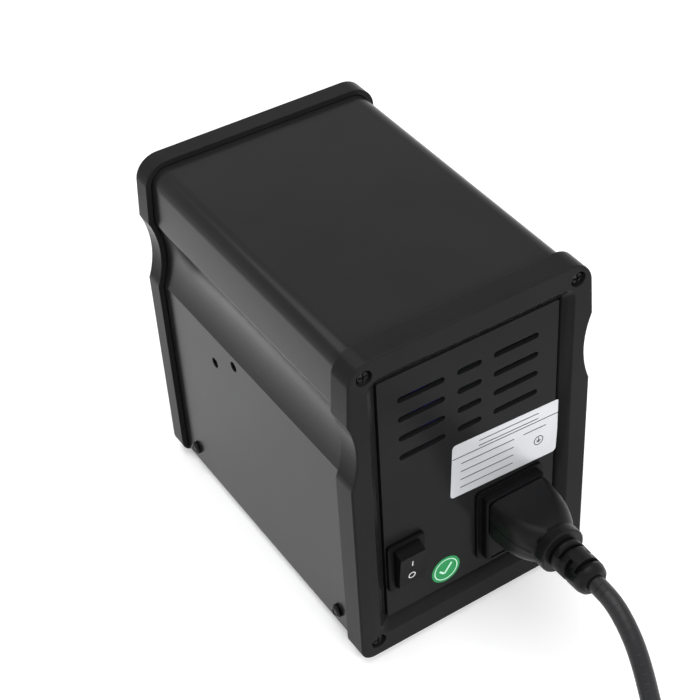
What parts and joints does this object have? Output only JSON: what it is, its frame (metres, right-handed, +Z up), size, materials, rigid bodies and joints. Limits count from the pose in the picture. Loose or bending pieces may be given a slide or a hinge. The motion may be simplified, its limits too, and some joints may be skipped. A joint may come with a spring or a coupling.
{
  "type": "hot air rework station",
  "caption": "Bench soldering and hot air rework station in a folded steel case, with a moulded front panel and rear panel, vents, mains inlet and lead",
  "frame": {"origin": "on the bench, under the middle of the unit with its knobs", "axes": "+Z up, front panel faces -Y, rear panel and mains inlet face +Y"},
  "size_m": [0.147, 0.3731, 0.143],
  "materials": {
    "powder_coat": "satin black powder coat with a fine grain",
    "moulded": "black moulded plastic",
    "gloss_black": "black plastic, half gloss",
    "rubber": "black rubber or soft vinyl",
    "black_screw": "blackened steel",
    "smoked_window": "dark red display window",
    "bright_metal": "bright nickel plate",
    "zinc_plate": "dull zinc or aluminium",
    "core_iron": "laminated transformer iron",
    "board": "green circuit board",
    "fuse_glass": "clear glass with metal caps",
    "copper_winding": "taped copper winding",
    "blue_case": "blue capacitor case"
  },
  "bodies": {
    "case": {"air_socket": "bright_metal", "air_socket_pins": "bright_metal", "air_switch": "gloss_black", "chassis_tray": "zinc_plate", "cover_screw_left_front": "black_screw", "cover_screw_left_rear": "black_screw", "cover_screw_right_front": "black_screw", "cover_screw_right_rear": "black_screw", "cover_shell": "powder_coat", "display_board": "board", "display_window_air": "smoked_window", "display_window_iron": "smoked_window", "fascia": "moulded", "film_capacitor": "blue_case", "foot_1": "rubber", "foot_2": "rubber", "foot_3": "rubber", "foot_4": "rubber", "front_bezel": "moulded", "front_screw_low_left": "black_screw", "front_screw_low_right": "black_screw", "front_screw_top_left": "black_screw", "front_screw_top_right": "black_screw", "heat_sink": "zinc_plate", "inlet_contacts": "bright_metal", "iron_socket": "bright_metal", "iron_socket_pins": "bright_metal", "iron_switch": "gloss_black", "mains_inlet": "gloss_black", "pot_air_temp": "zinc_plate", "pot_airflow": "zinc_plate", "pot_iron_temp": "zinc_plate", "power_board": "board", "power_switch": "gloss_black", "rear_frame": "moulded", "rear_panel": "moulded", "rear_screw_low_left": "black_screw", "rear_screw_low_right": "black_screw", "rear_screw_top_left": "black_screw", "rear_screw_top_right": "black_screw", "reservoir_capacitor": "gloss_black", "transformer_core": "core_iron", "transformer_winding": "copper_winding"},
    "power_rocker": {"power_rocker": "gloss_black"},
    "air_rocker": {"air_rocker": "gloss_black"},
    "iron_rocker": {"iron_rocker": "gloss_black"},
    "knob_air_temp": {"knob_air_temp": "gloss_black"},
    "knob_iron_temp": {"knob_iron_temp": "gloss_black"},
    "knob_airflow": {"knob_airflow": "gloss_black"},
    "mains_lead": {"mains_plug": "moulded", "strain_relief": "moulded", "mains_cord": "rubber", "mains_cord_coil": "rubber", "mains_cord_end": "rubber", "cord_tie": "moulded", "wall_plug": "moulded", "wall_pin_line": "bright_metal", "wall_pin_neutral": "bright_metal"},
    "fuse_drawer": {"fuse_drawer": "gloss_black", "fuse": "fuse_glass"}
  },
  "joints": [
    {"name": "power_rocker_swing", "type": "hinge", "parent": "case", "child": "power_rocker", "pos_m": [0.029, 0.0734, 0.0422], "axis": [1, 0, 0], "range_deg": [0, 12]},
    {"name": "air_rocker_swing", "type": "hinge", "parent": "case", "child": "air_rocker", "pos_m": [-0.0285, -0.0653, 0.06082], "axis": [-1, 0, 0], "range_deg": [0, 12]},
    {"name": "iron_rocker_swing", "type": "hinge", "parent": "case", "child": "iron_rocker", "pos_m": [0.0285, -0.0653, 0.06082], "axis": [-1, 0, 0], "range_deg": [0, 12]},
    {"name": "knob_air_temp_turn", "type": "hinge", "parent": "case", "child": "knob_air_temp", "pos_m": [-0.022, -0.0648, 0.08858], "axis": [0, -1, 0], "range_deg": [-150, 150]},
    {"name": "knob_iron_temp_turn", "type": "hinge", "parent": "case", "child": "knob_iron_temp", "pos_m": [0.022, -0.0648, 0.08858], "axis": [0, -1, 0], "range_deg": [-150, 150]},
    {"name": "knob_airflow_turn", "type": "hinge", "parent": "case", "child": "knob_airflow", "pos_m": [0, -0.0648, 0.06082], "axis": [0, -1, 0], "range_deg": [-150, 150]},
    {"name": "mains_lead_pull", "type": "slide", "parent": "case", "child": "mains_lead", "axis": [0, 1, 0], "range_m": [0, 0.018]},
    {"name": "fuse_drawer_slide", "type": "slide", "parent": "case", "child": "fuse_drawer", "axis": [0, 1, 0], "range_m": [0, 0.012]}
  ]
}
